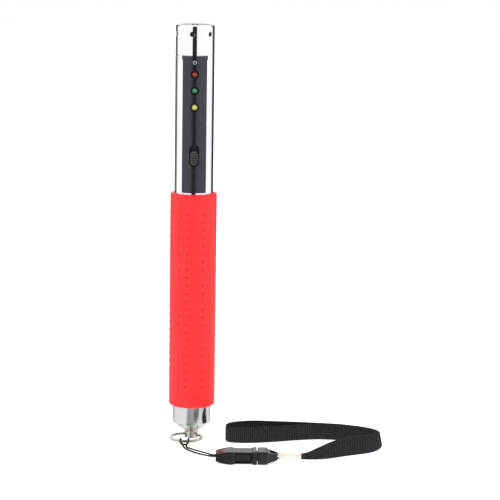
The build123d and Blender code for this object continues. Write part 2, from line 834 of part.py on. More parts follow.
with BuildPart() as buckle_plug:
    with BuildSketch(buckle_end.offset(plug_left)):
        RectangleRounded(buckle_width, buckle_thick, 1.0)
    extrude(amount=plug_block_right - plug_left)
    chamfer(buckle_plug.edges().group_by(Axis.X)[-1], 0.7)
    fillet(buckle_plug.edges().group_by(Axis.X)[0], edge_round)
    with BuildSketch(buckle_end.offset(plug_block_right)):
        RectangleRounded(2 * neck_half, 2 * neck_thick, 0.8)
    with BuildSketch(buckle_end.offset(plug_right)):
        RectangleRounded(2 * neck_end_half, 2 * neck_end_thick, 0.8)
    loft()
    with BuildSketch(buckle_plan):
        with Locations(((web_hole_left + web_bar_left) / 2, 0)):
            Rectangle(web_bar_left - web_hole_left, 2 * web_hole_half)
    extrude(amount=half_thick, both=True, mode=Mode.SUBTRACT)
    with BuildSketch(buckle_side):
        with Locations(*[(web_bar_right, side * (web_bar_half_thick + 2.0)) for side in (-1, 1)]):
            Rectangle(2 * (web_bar_right - web_bar_left), 4.0)
    extrude(amount=web_hole_half, both=True, mode=Mode.SUBTRACT)
    with BuildSketch(buckle_plan):
        with Locations((cavity_left + 15.0, 0)):
            Rectangle(2 * (plug_left - cavity_left - 15.0), 2 * tongue_half)
        for side in (-1, 1):
            with BuildLine():
                Polyline(
                    (plug_left, side * (prong_inner + 0.9)),
                    (plug_left, side * (prong_inner - 0.6)),
                    (window_left + 2.0, side * prong_inner),
                    (prong_tip, side * (prong_inner - 0.2)),
                    (prong_tip, side * (prong_inner + 0.4)),
                    (window_left - 0.6, side * prong_outer),
                    (window_left + 1.6, side * prong_outer),
                    (window_left + 3.6, side * (prong_outer - 0.5)),
                    (window_right - 4.0, side * prong_outer),
                    (window_right - 1.0, side * prong_outer),
                    (window_right - 0.4, side * (prong_inner + 0.9)),
                    close=True,
                )
            make_face()
    extrude(amount=prong_thick, both=True)
buckle_plug.part.label = "buckle_plug"
export_step(buckle_plug.part, "parts/buckle_plug.step")

ferrule_bore = 2.0
with BuildPart() as strap_ferrule:
    with BuildSketch(buckle_end.offset(ferrule_left)):
        Circle(ferrule_r)
        Circle(ferrule_bore, mode=Mode.SUBTRACT)
    extrude(amount=ferrule_right - ferrule_left)
    ferrule_rims = strap_ferrule.edges().filter_by(GeomType.CIRCLE)
    fillet(ferrule_rims.filter_by(lambda rim: abs(rim.radius - ferrule_r) < 0.01), 0.3)
strap_ferrule.part.label = "strap_ferrule"
export_step(strap_ferrule.part, "parts/strap_ferrule.step")

gather_r = 1.9
gather_left = web_bar_right + 1.0
gather_right = ferrule_right + 0.4
fan_start_side = 3.0
bar_loop_half_width = 2.6
bar_loop_thick = 1.0
bar_loop_play = 0.1
pair_route = (
    (112.0, -58.5),
    (130.0, -47.0),
    (144.5, -38.5),
    (149.0, -26.0),
    (140.5, -15.5),
    (126.0, -10.8),
    (105.0, -9.2),
)
hand_loop_route = (
    (107.0, -8.6),
    (84.0, -4.9),
    (60.0, -1.6),
    (40.0, -1.9),
    (27.6, -7.8),
    (28.6, -18.6),
    (42.0, -21.0),
    (62.0, -18.4),
    (85.0, -12.2),
    (107.0, -9.8),
)
flat_pair = [(x, y, 0) for x, y in pair_route]
flat_loop = [(x, y, 0) for x, y in hand_loop_route]
fan_direction = (Vector(*flat_pair[1]) - Vector(*flat_pair[0])).normalized()
fan_origin = Vector(*flat_pair[0]) + fan_direction * 1.2 + Vector(0, 0, strap_width / 2)
fan_end = Plane(origin=fan_origin, x_dir=(fan_direction.Y, -fan_direction.X, 0), z_dir=fan_direction)
hole_width = web_bar_right - web_bar_left + 2 * bar_loop_play
hole_height = 2 * (web_bar_half_thick + bar_loop_play)

with BuildPart() as wrist_strap:
    with BuildSketch():
        with BuildLine():
            pair_line = FilletPolyline(*flat_pair, radius=bend_radii(flat_pair))
        trace(line_width=web_pair)
    extrude(amount=strap_width)
    with BuildSketch():
        with BuildLine():
            loop_line = FilletPolyline(*flat_loop, radius=bend_radii(flat_loop))
        trace(line_width=web_thick)
    extrude(amount=strap_width)
    with BuildSketch(buckle_end.offset(gather_right)):
        Rectangle(fan_start_side, fan_start_side)
    with BuildSketch(fan_end):
        Rectangle(web_pair, strap_width)
    loft()
    with BuildSketch(buckle_end.offset(gather_left)):
        Circle(gather_r)
    extrude(amount=gather_right - gather_left)
    with BuildSketch(buckle_side):
        with Locations(((web_bar_left + web_bar_right) / 2, 0)):
            RectangleRounded(hole_width + 2 * bar_loop_thick, hole_height + 2 * bar_loop_thick, 1.2)
            Rectangle(hole_width, hole_height, mode=Mode.SUBTRACT)
    extrude(amount=bar_loop_half_width, both=True)
wrist_strap.part.label = "wrist_strap"
export_step(wrist_strap.part, "parts/wrist_strap.step")
gathered_length = fan_origin.X - gather_left
strap_length = 2 * (gathered_length + pair_line.length) + loop_line.length
print("strap length", round(strap_length, 1), "volume", round(wrist_strap.part.volume, 1))
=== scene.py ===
"""Looks of the traffic baton light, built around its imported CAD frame. Metres, row frame."""
import math

import bpy
from mathutils import Euler, Matrix, Vector


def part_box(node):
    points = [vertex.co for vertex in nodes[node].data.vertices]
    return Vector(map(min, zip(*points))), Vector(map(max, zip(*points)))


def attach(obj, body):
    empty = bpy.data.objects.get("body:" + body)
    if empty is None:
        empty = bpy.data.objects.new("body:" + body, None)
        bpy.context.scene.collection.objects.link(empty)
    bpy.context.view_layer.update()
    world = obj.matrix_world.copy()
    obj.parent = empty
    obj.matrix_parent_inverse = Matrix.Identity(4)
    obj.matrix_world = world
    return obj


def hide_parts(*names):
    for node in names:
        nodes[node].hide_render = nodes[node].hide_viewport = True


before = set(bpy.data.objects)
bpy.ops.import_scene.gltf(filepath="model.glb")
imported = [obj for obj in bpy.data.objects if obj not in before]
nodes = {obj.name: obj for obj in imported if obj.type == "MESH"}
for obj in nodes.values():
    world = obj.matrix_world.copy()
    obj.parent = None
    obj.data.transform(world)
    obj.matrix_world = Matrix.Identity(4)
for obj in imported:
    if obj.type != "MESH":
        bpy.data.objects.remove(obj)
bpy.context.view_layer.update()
MM = 0.001
RIB_PITCH = 1.5 * MM


# ---- shader helpers -----------------------------------------------------------------------
class Paint:
    """A principled material with object-space textures feeding chosen sockets."""

    def __init__(self, name, colour, metallic=0.0, roughness=0.5, **sockets):
        self.material = bpy.data.materials.new(name)
        self.material.use_nodes = True
        tree = self.material.node_tree
        self.nodes, self.links = tree.nodes, tree.links
        self.bsdf = self.nodes["Principled BSDF"]
        self.put("Base Color", (*colour, 1.0))
        self.put("Metallic", metallic)
        self.put("Roughness", roughness)
        for socket, value in sockets.items():
            self.put(socket.replace("_", " ").title().replace("Ior", "IOR"), value)
        self.coords = self.nodes.new("ShaderNodeTexCoord").outputs["Object"]
        self.normal = None

    def put(self, socket, value):
        self.bsdf.inputs[socket].default_value = value

    def scaled(self, scale):
        mapping = self.nodes.new("ShaderNodeMapping")
        mapping.inputs["Scale"].default_value = scale
        self.links.new(self.coords, mapping.inputs["Vector"])
        return mapping.outputs["Vector"]

    def noise(self, scale, detail=3.0, stretch=(1, 1, 1)):
        texture = self.nodes.new("ShaderNodeTexNoise")
        texture.inputs["Scale"].default_value = scale
        texture.inputs["Detail"].default_value = detail
        self.links.new(self.scaled(stretch), texture.inputs["Vector"])
        return texture.outputs["Fac"]

    def attribute(self, name):
        node = self.nodes.new("ShaderNodeAttribute")
        node.attribute_name = name
        return node.outputs["Fac"]

    def along(self, axis):
        """One object-space coordinate in metres."""
        split = self.nodes.new("ShaderNodeSeparateXYZ")
        self.links.new(self.coords, split.inputs[0])
        return split.outputs[axis]

    def stripes(self, name, pitch):
        """Sine stripes of a pitch along a stored distance, from 0 to 1."""
        turns = self.nodes.new("ShaderNodeMath")
        turns.operation = "MULTIPLY"
        turns.inputs[1].default_value = 2 * math.pi / pitch
        self.links.new(self.attribute(name), turns.inputs[0])
        wave = self.nodes.new("ShaderNodeMath")
        wave.operation = "COSINE"
        self.links.new(turns.outputs[0], wave.inputs[0])
        return self.span(wave.outputs[0], 0, 1, -1, 1)

    def voronoi(self, scale):
        texture = self.nodes.new("ShaderNodeTexVoronoi")
        texture.inputs["Scale"].default_value = scale
        self.links.new(self.scaled((1, 1, 1)), texture.inputs["Vector"])
        return texture.outputs["Distance"]

    def span(self, source, low, high, from_low=0.3, from_high=0.7):
        """A source's range, by default that of a noise, brought to low..high and held there."""
        ramp = self.nodes.new("ShaderNodeMapRange")
        limits = {"From Min": from_low, "From Max": from_high, "To Min": low, "To Max": high}
        for socket, value in limits.items():
            ramp.inputs[socket].default_value = value
        self.links.new(source, ramp.inputs["Value"])
        return ramp.outputs["Result"]

    def blend(self, factor, first, second):
        """Mix of two colours, each an RGB triple or another node's output."""
        mix = self.nodes.new("ShaderNodeMix")
        mix.data_type = "RGBA"
        colour_sockets = [socket for socket in mix.inputs if socket.type == "RGBA"]
        for socket, colour in zip(colour_sockets, (first, second)):
            if isinstance(colour, tuple):
                socket.default_value = (*colour, 1.0)
            else:
                self.links.new(colour, socket)
        self.links.new(factor, mix.inputs[0])
        return next(socket for socket in mix.outputs if socket.type == "RGBA")

    def mottle(self, scale, detail, first, second):
        """Mix of two colours in soft patches."""
        return self.blend(self.span(self.noise(scale, detail), 0, 1), first, second)

    def colour(self, source):
        self.links.new(source, self.bsdf.inputs["Base Color"])

    def roughness(self, source):
        self.links.new(source, self.bsdf.inputs["Roughness"])

    def bump(self, height, strength, distance):
        node = self.nodes.new("ShaderNodeBump")
        node.inputs["Strength"].default_value = strength
        node.inputs["Distance"].default_value = distance
        self.links.new(height, node.inputs["Height"])
        if self.normal is not None:
            self.links.new(self.normal, node.inputs["Normal"])
        self.normal = node.outputs["Normal"]
        self.links.new(self.normal, self.bsdf.inputs["Normal"])


def mirror_chrome():
    """Mirror chrome with faint wipe marks and hairlines along the tube."""
    paint = Paint("mirror_chrome", (0.86, 0.87, 0.89), 1.0, 0.05)
    paint.roughness(paint.span(paint.noise(55, 4, (1, 1, 0.35)), 0.025, 0.085))
    paint.colour(paint.mottle(28, 3, (0.84, 0.85, 0.88), (0.90, 0.90, 0.91)))
    paint.bump(paint.noise(1500, 2, (1, 1, 0.02)), 0.03, 0.02 * MM)
    return paint.material


def turned_aluminium():
    """Lathe-turned aluminium: fine rings round the axis, softer reflections."""
    paint = Paint("turned_aluminium", (0.80, 0.80, 0.82), 1.0, 0.2)
    paint.roughness(paint.span(paint.noise(60, 4), 0.14, 0.20))
    paint.colour(paint.mottle(120, 3, (0.80, 0.80, 0.82), (0.86, 0.86, 0.88)))
    paint.bump(paint.noise(2200, 1, (0.01, 0.01, 1)), 0.06, 0.02 * MM)
    return paint.material


def nickel():
    """Nickel-plated steel fittings, slightly warm, scuffed."""
    paint = Paint("nickel", (0.80, 0.77, 0.73), 1.0, 0.16)
    paint.roughness(paint.span(paint.noise(250, 4), 0.08, 0.24))
    paint.colour(paint.mottle(300, 3, (0.62, 0.58, 0.53), (0.76, 0.73, 0.68)))
    paint.bump(paint.noise(1500, 2), 0.04, 0.02 * MM)
    return paint.material


def silicone():
    """Red silicone rubber: soft sheen, faint mottling, fine skin, and painted shade darkening the raised
    dots.
    """
    paint = Paint(
        "red_silicone", (0.93, 0.015, 0.017), 0.0, 0.36, subsurface_weight=0.08, subsurface_scale=0.6 * MM,
        specular_ior_level=0.34,
    )
    paint.put("Subsurface Radius", (1.0, 0.25, 0.2))
    skin = paint.mottle(70, 4, (0.91, 0.012, 0.014), (0.96, 0.017, 0.019))
    # Painted shade: the raised dots are coloured a darker red than the skin around them.
    painted_dot_shade = paint.mottle(90, 3, (0.56, 0.008, 0.010), (0.66, 0.012, 0.014))
    on_dot = paint.span(paint.attribute("dot"), 0, 1, 0.01, 0.10)
    paint.colour(paint.blend(on_dot, skin, painted_dot_shade))
    paint.roughness(paint.span(paint.noise(160, 4), 0.32, 0.42))
    paint.bump(paint.noise(2600, 3), 0.12, 0.04 * MM)
    return paint.material


def satin_black():
    """Satin moulded panel with a fine spark-eroded grain."""
    paint = Paint("satin_black", (0.006, 0.006, 0.011), 0.0, 0.26, specular_ior_level=0.75)
    paint.put("Specular Tint", (0.90, 0.88, 1.0, 1.0))
    paint.colour(paint.mottle(45, 3, (0.004, 0.004, 0.008), (0.008, 0.007, 0.013)))
    paint.roughness(paint.span(paint.noise(120, 4), 0.22, 0.30))
    paint.bump(paint.noise(3800, 2), 0.05, 0.02 * MM)
    return paint.material


def moulded(name, colour, roughness=0.42, grain=2400):
    """Plain moulded plastic or rubber with a fine grain."""
    paint = Paint(name, colour, 0.0, roughness)
    lighter = tuple(min(1.0, value * 1.18 + 0.002) for value in colour)
    paint.colour(paint.mottle(180, 4, colour, lighter))
    paint.roughness(paint.span(paint.noise(260, 3), roughness - 0.07, roughness + 0.09))
    paint.bump(paint.noise(grain, 3), 0.14, 0.04 * MM)
    return paint.material


def switch_grey():
    """Grey ribbed knob on a black shutter: one moulding, darker with depth, which paints shade into its
    grooves and makes the shutter behind them dark.
    """
    groove_y, rib_y = -14.5 * MM, -15.0 * MM
    paint = Paint("switch_grey", (0.060, 0.062, 0.062), 0.0, 0.42)
    grey = paint.mottle(300, 4, (0.038, 0.040, 0.040), (0.056, 0.058, 0.058))
    # Painted shade: near black behind the rib tops, grey on the rib fronts.
    depth_shade = paint.span(paint.along("Y"), 0, 1, groove_y, rib_y)
    paint.colour(paint.blend(depth_shade, (0.004, 0.004, 0.005), grey))
    paint.roughness(paint.span(paint.noise(260, 3), 0.36, 0.52))
    paint.bump(paint.noise(2600, 3), 0.12, 0.04 * MM)
    return paint.material


def buckle_black():
    """Black acetal with flow mottling and scuffed skin."""
    paint = Paint("buckle_black", (0.005, 0.005, 0.006), 0.0, 0.3, specular_ior_level=0.6)
    paint.colour(paint.mottle(420, 5, (0.0015, 0.0015, 0.002), (0.006, 0.006, 0.008)))
    paint.roughness(paint.span(paint.noise(300, 4), 0.20, 0.34))
    paint.bump(paint.noise(1300, 4), 0.07, 0.04 * MM)
    return paint.material


def webbing_cloth():
    """Black ribbed polyester: the ribs are in the mesh, with painted shade in their valleys and painted
    light on their crowns; the yarns that cross them are here.
    """
    yarn_pitch = 0.55 * MM
    paint = Paint("webbing_cloth", (0.010, 0.010, 0.013), 0.0, 0.8, specular_ior_level=0.3)
    # Painted shade in the rib valleys and painted light on the rib crowns, in step with the mesh ribs.
    valley_painted_shade = paint.mottle(900, 4, (0.001, 0.001, 0.001), (0.002, 0.002, 0.003))
    crown_painted_light = paint.mottle(700, 4, (0.014, 0.014, 0.019), (0.036, 0.036, 0.046))
    paint.colour(paint.blend(paint.stripes("lengthwise", RIB_PITCH), valley_painted_shade, crown_painted_light))
    paint.roughness(paint.span(paint.noise(500, 3), 0.68, 0.90))
    paint.bump(paint.stripes("crosswise", yarn_pitch), 0.45, 0.06 * MM)
    paint.bump(paint.noise(2400, 3), 0.25, 0.05 * MM)
    return paint.material


def braided_cord():
    """Round braided black polyester."""
    paint = Paint("braided_cord", (0.004, 0.004, 0.005), 0.0, 0.75, sheen_weight=0.04)
    paint.colour(paint.mottle(1400, 4, (0.001, 0.001, 0.002), (0.010, 0.010, 0.012)))
    paint.roughness(paint.span(paint.noise(800, 3), 0.6, 0.9))
    paint.bump(paint.voronoi(1900), 0.5, 0.08 * MM)
    return paint.material


def milky_tube():
    """Milky white tubing that scatters light below its surface."""
    paint = Paint(
        "milky_tube", (0.74, 0.71, 0.66), 0.0, 0.32, subsurface_weight=0.3, subsurface_scale=1.0 * MM,
    )
    paint.colour(paint.mottle(200, 3, (0.66, 0.63, 0.58), (0.72, 0.69, 0.64)))
    paint.roughness(paint.span(paint.noise(300, 3), 0.26, 0.42))
    paint.bump(paint.noise(900, 2), 0.06, 0.03 * MM)
    return paint.material


def lamp_epoxy(name, deep, light):
    """Tinted epoxy lamp body: clear skin over a darker, slightly cloudy colour."""
    paint = Paint(name, light, 0.0, 0.18, coat_weight=1.0, coat_roughness=0.10, specular_ior_level=0.7)
    paint.colour(paint.mottle(120, 2, deep, light))
    paint.roughness(paint.span(paint.noise(200, 2), 0.10, 0.16))
    return paint.material


def clear_lens():
    """Clear lens glass with a trace of dust."""
    paint = Paint("clear_lens", (0.97, 0.98, 0.99), 0.0, 0.02, transmission_weight=1.0, ior=1.47)
    paint.roughness(paint.span(paint.noise(500, 4), 0.01, 0.06))
    return paint.material


def bright_metal(name, colour, rough):
    """Small bright metal parts: stamped, drawn or plated."""
    paint = Paint(name, colour, 1.0, rough)
    darker = tuple(value * 0.86 for value in colour)
    paint.colour(paint.mottle(420, 4, darker, colour))
    paint.roughness(paint.span(paint.noise(600, 4), max(0.03, rough - 0.08), rough + 0.12))
    paint.bump(paint.noise(1600, 2), 0.08, 0.03 * MM)
    return paint.material


def circuit_board():
    """Green solder mask over a faint pattern of tracks."""
    paint = Paint("circuit_board", (0.02, 0.16, 0.06), 0.0, 0.35, coat_weight=0.3)
    tracks = paint.span(paint.voronoi(420), 0, 1, 0.2, 0.3)
    paint.colour(paint.blend(tracks, (0.012, 0.11, 0.04), (0.03, 0.22, 0.09)))
    paint.bump(paint.voronoi(420), 0.2, 0.05 * MM)
    return paint.material


inner_black = moulded("inner_black", (0.014, 0.014, 0.015), 0.5)
seal_rubber = moulded("seal_rubber", (0.012, 0.012, 0.012), 0.65, 1500)
brass = bright_metal("brass", (0.80, 0.58, 0.26), 0.22)
plated_steel = bright_metal("plated_steel", (0.76, 0.76, 0.77), 0.2)
spring_wire = bright_metal("spring_wire", (0.60, 0.60, 0.62), 0.25)
cell_jacket = moulded("cell_jacket", (0.06, 0.12, 0.30), 0.28, 800)
reflector_silver = bright_metal("reflector_silver", (0.92, 0.92, 0.92), 0.06)
led_phosphor = moulded("led_phosphor", (0.90, 0.82, 0.40), 0.3)
liner_card = moulded("liner_card", (0.74, 0.72, 0.66), 0.7, 900)

lamp_finishes = {
    "red": lamp_epoxy("lamp_red", (0.16, 0.010, 0.010), (0.26, 0.024, 0.024)),
    "green": lamp_epoxy("lamp_green", (0.012, 0.13, 0.060), (0.026, 0.20, 0.10)),
    "yellow": lamp_epoxy("lamp_yellow", (0.42, 0.44, 0.09), (0.54, 0.58, 0.16)),
}
# Which nodes of the frame wear which material.
finishes = {
    mirror_chrome(): ("main_tube", "head_cap"),
    turned_aluminium(): ("end_cap",),
    nickel(): ("swivel_post", "split_ring"),
    spring_wire: ("cap_spring", "swivel_clip"),
    seal_rubber: ("cap_gasket", "lens_gasket"),
    satin_black(): ("window_panel",),
    plated_steel: ("panel_screw", "board_screws", "switch_body"),
    switch_grey(): ("switch_knob",),
    inner_black: ("port_screen", "sounder", "board_carrier", "lamp_guide", "battery_bulkhead"),
    circuit_board(): ("control_board", "led_board"),
    brass: ("spring_plate", "positive_contact", "contact_strip"),
    clear_lens(): ("lens",),
    reflector_silver: ("reflector",),
    led_phosphor: ("torch_led",),
    cell_jacket: ("battery_cell_1", "battery_cell_2", "battery_cell_3"),
    liner_card: ("battery_liner",),
    buckle_black(): ("buckle_socket", "buckle_plug"),
    milky_tube(): ("strap_ferrule",),
}
for material, members in finishes.items():
    for member in members:
        for slot in nodes[member].material_slots:
            slot.material = material


# ---- mesh helpers -------------------------------------------------------------------------
def add_mesh(name, vertices, faces, material, smooth=True):
    """A new object of one material from points in metres and their faces."""
    mesh = bpy.data.meshes.new(name)
    mesh.from_pydata([tuple(vertex) for vertex in vertices], [], faces)
    mesh.validate()
    mesh.polygons.foreach_set("use_smooth", [smooth] * len(mesh.polygons))
    mesh.materials.append(material)
    piece = bpy.data.objects.new(name, mesh)
    bpy.context.scene.collection.objects.link(piece)
    return piece


def store(piece, name, values):
    """Keep one number per vertex for the piece's material."""
    layer = piece.data.attributes.new(name, "FLOAT", "POINT")
    layer.data.foreach_set("value", values)


def ring_faces(rows, columns):
    """Quads of a tube of point rings, closed round each ring."""
    return [
        (
            row * columns + column,
            row * columns + (column + 1) % columns,
            (row + 1) * columns + (column + 1) % columns,
            (row + 1) * columns + column,
        )
        for row in range(rows - 1)
        for column in range(columns)
    ]


# ---- grip sleeve with raised dots ---------------------------------------------------------
sleeve_low, sleeve_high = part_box("grip_sleeve")
sleeve_r = sleeve_high.x
tube_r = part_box("main_tube")[1].x
sleeve_clearance = 0.02 * MM
dot_r = 1.5 * MM
dot_height = 0.5 * MM
dot_fullness = 0.7
dot_rows = 23
dot_top = sleeve_high.z - 15.0 * MM
dot_bottom = sleeve_low.z + 17.0 * MM
# Degrees from the front towards +X.
pair_azimuths = (-91.0, -27.0, 37.0, 113.0, 189.0)
pair_half_spread = 11.0
lower_round = 1.6 * MM
upper_round = 1.0 * MM
corner_steps = 6
# Widest spaces between the grid lines round the sleeve and along it.
around_spacing = 1.6 * MM
height_spacing = 2.0 * MM


def dot_lines(centres, spacing_limit, low, high, closed):
    """Grid lines that are dense across each dot and sparse between dots."""
    across = [step * 0.25 * dot_r for step in range(-5, 6)]
    lines = sorted(centre + offset for centre in centres for offset in across)
    filled = []
    ends = lines + ([lines[0] + high - low] if closed else [high])
    previous = None if closed else low
    if not closed:
        filled.append(low)
    for line in ends:
        if previous is not None:
            gaps = max(1, math.ceil((line - previous) / spacing_limit))
            filled += [previous + (line - previous) * step / gaps for step in range(1, gaps)]
        filled.append(line)
        previous = line
    return filled[:-1] if closed else filled


def dotted_grip():
    """The sleeve as one turned mesh with rounded ends, its dots raised out of the outer wall."""
    rows = [dot_top + (dot_bottom - dot_top) * row / (dot_rows - 1) for row in range(dot_rows)]
    columns = [math.radians(pair + side * pair_half_spread) for pair in pair_azimuths for side in (-1, 1)]
    centres = [azimuth * sleeve_r for azimuth in columns]
    around = dot_lines(centres, around_spacing, 0, 2 * math.pi * sleeve_r, True)
    lower_start = sleeve_low.z + lower_round
    upper_start = sleeve_high.z - upper_round
    heights = dot_lines(rows, height_spacing, lower_start, upper_start, False)
    lower, upper = [], []
    for step in range(1, corner_steps + 1):
        angle = math.radians(90 / corner_steps * step)
        inwards, onwards = 1 - math.cos(angle), math.sin(angle)
        lower.insert(0, (sleeve_r - lower_round * inwards, lower_start - lower_round * onwards))
        upper.append((sleeve_r - upper_round * inwards, upper_start + upper_round * onwards))
    inner_r = tube_r + sleeve_clearance
    wall = [(sleeve_r, z) for z in heights]
    profile = [(inner_r, sleeve_low.z), *lower, *wall, *upper, (inner_r, sleeve_high.z)]

    vertices = []
    rises = []
    for radius, z in profile:
        near_rows = [row for row in rows if abs(row - z) < dot_r]
        for arc_length in around:
            azimuth = arc_length / sleeve_r
            bulge = 0.0
            if near_rows and radius == sleeve_r:
                for column in columns:
                    turn = math.remainder(azimuth - column, 2 * math.pi)
                    distance = math.hypot(turn * sleeve_r, z - near_rows[0])
                    if distance < dot_r:
                        swell = 0.5 + 0.5 * math.cos(math.pi * distance / dot_r)
                        bulge = dot_height * swell**dot_fullness
            rises.append(bulge / dot_height)
            reach = radius + bulge
            vertices.append((reach * math.sin(azimuth), -reach * math.cos(azimuth), z))
    count = len(around)
    faces = ring_faces(len(profile), count)
    last = (len(profile) - 1) * count
    faces += [(last + i, last + (i + 1) % count, (i + 1) % count, i) for i in range(count)]
    piece = add_mesh("grip_dotted", vertices, faces, silicone())
    store(piece, "dot", rises)
    return piece


grip = dotted_grip()
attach(grip, "barrel")
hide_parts("grip_sleeve")


# ---- status lamps: epoxy domes on a collar, with their two leads, one mesh each ------------
def turned_about_y(rings, centre_x, centre_z, sides, first):
    """Points and faces of a closed turned shape from (radius, y) rings, numbered from first."""
    points = [
        (
            centre_x + radius * MM * math.cos(2 * math.pi * side / sides),
            y * MM,
            centre_z + radius * MM * math.sin(2 * math.pi * side / sides),
        )
        for radius, y in rings
        for side in range(sides)
    ]
    faces = [tuple(first + corner for corner in face) for face in ring_faces(len(rings), sides)]
    last = first + (len(rings) - 1) * sides
    faces.append(tuple(first + side for side in reversed(range(sides))))
    faces.append(tuple(last + side for side in range(sides)))
    return points, faces


# Rings of (radius, y) in millimetres, from the collar out to the tip of the dome.
lamp_body_r = 2.5
lamp_collar = [(2.8, -8.0), (2.9, -8.1), (2.9, -8.9), (2.8, -9.0), (2.52, -9.0), (lamp_body_r, -9.05)]
dome_r = 2.45
dome_start = -11.85
dome_steps = 12
dome_angles = [math.radians(90 / dome_steps * step) for step in range(dome_steps + 1)]
dome = [(lamp_body_r - dome_r * (1 - math.cos(a)), dome_start - dome_r * math.sin(a)) for a in dome_angles]
lead_r = 0.25
lead = [(lead_r, -7.0), (lead_r, -8.05)]
lead_half_pitch = 1.27 * MM
lamp_sides = 48
lead_sides = 12
for lamp_colour in ("red", "green", "yellow"):
    node = f"status_lamp_{lamp_colour}"
    lamp_low, lamp_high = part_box(node)
    lamp_z = (lamp_low.z + lamp_high.z) / 2
    lamp_points, lamp_faces = turned_about_y(lamp_collar + dome, 0, lamp_z, lamp_sides, 0)
    for lead_x in (-lead_half_pitch, lead_half_pitch):
        points, faces = turned_about_y(lead, lead_x, lamp_z, lead_sides, len(lamp_points))
        lamp_points += points
        lamp_faces += faces
    lamp = add_mesh(f"lamp_dome_{lamp_colour}", lamp_points, lamp_faces, lamp_finishes[lamp_colour])
    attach(lamp, "barrel")
    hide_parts(node)


# ---- wrist strap --------------------------------------------------------------------------
# All in millimetres. Where the strap is gathered it's narrower, thinner and pleated.
web_width = 15.0
web_thick = 1.15
rib_pitch = RIB_PITCH / MM
rib_depth = 0.22
gathered_width = 4.2
gathered_thinning = 0.16
pleat_depth = 0.55
edge_thinning = 0.55
station_step = 0.29
ferrule_low, ferrule_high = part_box("strap_ferrule")
gather_y = (ferrule_low.y + ferrule_high.y) / 2 / MM
gather_z = (ferrule_low.z + ferrule_high.z) / 2 / MM
ferrule_right = ferrule_high.x / MM
ferrule_left = ferrule_low.x / MM
gather_low = gather_z - gathered_width / 2
gather_high = gather_z + gathered_width / 2

# Lower and upper edge of the doubled strap, from the ferrule round the right-hand turn.
pair_edges = (
    ((ferrule_left + 1, gather_y, gather_low), (ferrule_left + 1, gather_y, gather_high)),
    ((ferrule_right - 2, gather_y, gather_low), (ferrule_right - 2, gather_y, gather_high)),
    ((88.0, -71.9, 2.3), (88.0, -71.7, 7.6)),
    ((97.0, -66.8, 1.1), (97.0, -66.6, 10.2)),
    ((106.0, -61.2, 0.5), (106.0, -61.0, 12.6)),
    ((116.0, -54.6, 0.1), (116.0, -54.6, 14.2)),
    ((127.0, -49.2, 0.1), (126.8, -49.5, 14.5)),
    ((136.0, -44.6, 0.1), (135.2, -45.4, 14.4)),
    ((142.6, -38.0, 0.1), (141.0, -40.6, 14.2)),
    ((146.6, -29.6, 0.1), (144.0, -34.4, 13.6)),
    ((147.8, -21.4, 0.1), (144.8, -28.2, 13.0)),
    ((145.4, -14.6, 0.1), (142.2, -22.4, 12.8)),
    ((139.8, -11.0, 0.1), (137.0, -18.8, 13.2)),
    ((129.0, -9.0, 0.1), (127.4, -15.6, 13.8)),
    ((116.0, -6.6, 0.1), (115.4, -12.0, 14.1)),
)
# The single layer of the hand loop, back run first, then round its left end to the front run.
loop_edges = (
    ((100.0, -2.6, 0.1), (99.6, -8.2, 14.1)),
    ((84.0, -1.6, 0.1), (83.6, -6.4, 14.3)),
    ((66.0, 0.0, 0.1), (65.8, -4.6, 14.3)),
    ((50.0, 0.8, 0.1), (49.8, -3.4, 14.4)),
    ((38.4, -1.4, 0.1), (38.2, -5.8, 14.4)),
    ((30.4, -5.2, 0.1), (30.0, -10.2, 14.3)),
    ((27.4, -10.6, 0.1), (27.2, -16.6, 14.0)),
    ((30.0, -15.6, 0.1), (29.6, -22.2, 13.9)),
    ((38.0, -17.9, 0.1), (37.4, -23.6, 14.0)),
    ((52.0, -17.0, 0.1), (51.6, -22.6, 14.1)),
    ((66.0, -13.6, 0.1), (65.8, -19.4, 14.1)),
    ((82.0, -8.9, 0.1), (81.6, -14.4, 14.1)),
    ((100.0, -5.4, 0.1), (99.6, -11.0, 14.1)),
)


def catmull_rom(points, step):
    """Points about a step apart on a smooth curve through the given ones (lists of numbers)."""
    padded = [points[0], *points, points[-1]]
    samples = []
    for before, start, end, after in zip(padded, padded[1:], padded[2:], padded[3:]):
        length = math.dist(start[:3], end[:3])
        count = max(2, round(length / step))
        for index in range(count):
            t = index / count
            sample = []
            for a, b, c, d in zip(before, start, end, after):
                square = (2 * a - 5 * b + 4 * c - d) * t**2
                cube = (3 * b - a - 3 * c + d) * t**3
                sample.append(0.5 * (2 * b + (c - a) * t + square + cube))
            samples.append(sample)
    samples.append(list(points[-1]))
    return samples


def side_step(previous, following):
    """Unit vector to the right of the way from one floor point to the next."""
    along = Vector((following[0] - previous[0], following[1] - previous[1], 0)).normalized()
    return Vector((along.y, -along.x, 0))


def offset_pair(edges, amount):
    """The edge lines moved sideways over the floor, to the right of their way for a plus amount."""
    shifted = []
    for index, (low, high) in enumerate(edges):
        before = edges[max(index - 1, 0)][0]
        after = edges[min(index + 1, len(edges) - 1)][0]
        shift = side_step(before, after) * amount
        shifted.append((tuple(Vector(low) + shift), tuple(Vector(high) + shift)))
    return shifted


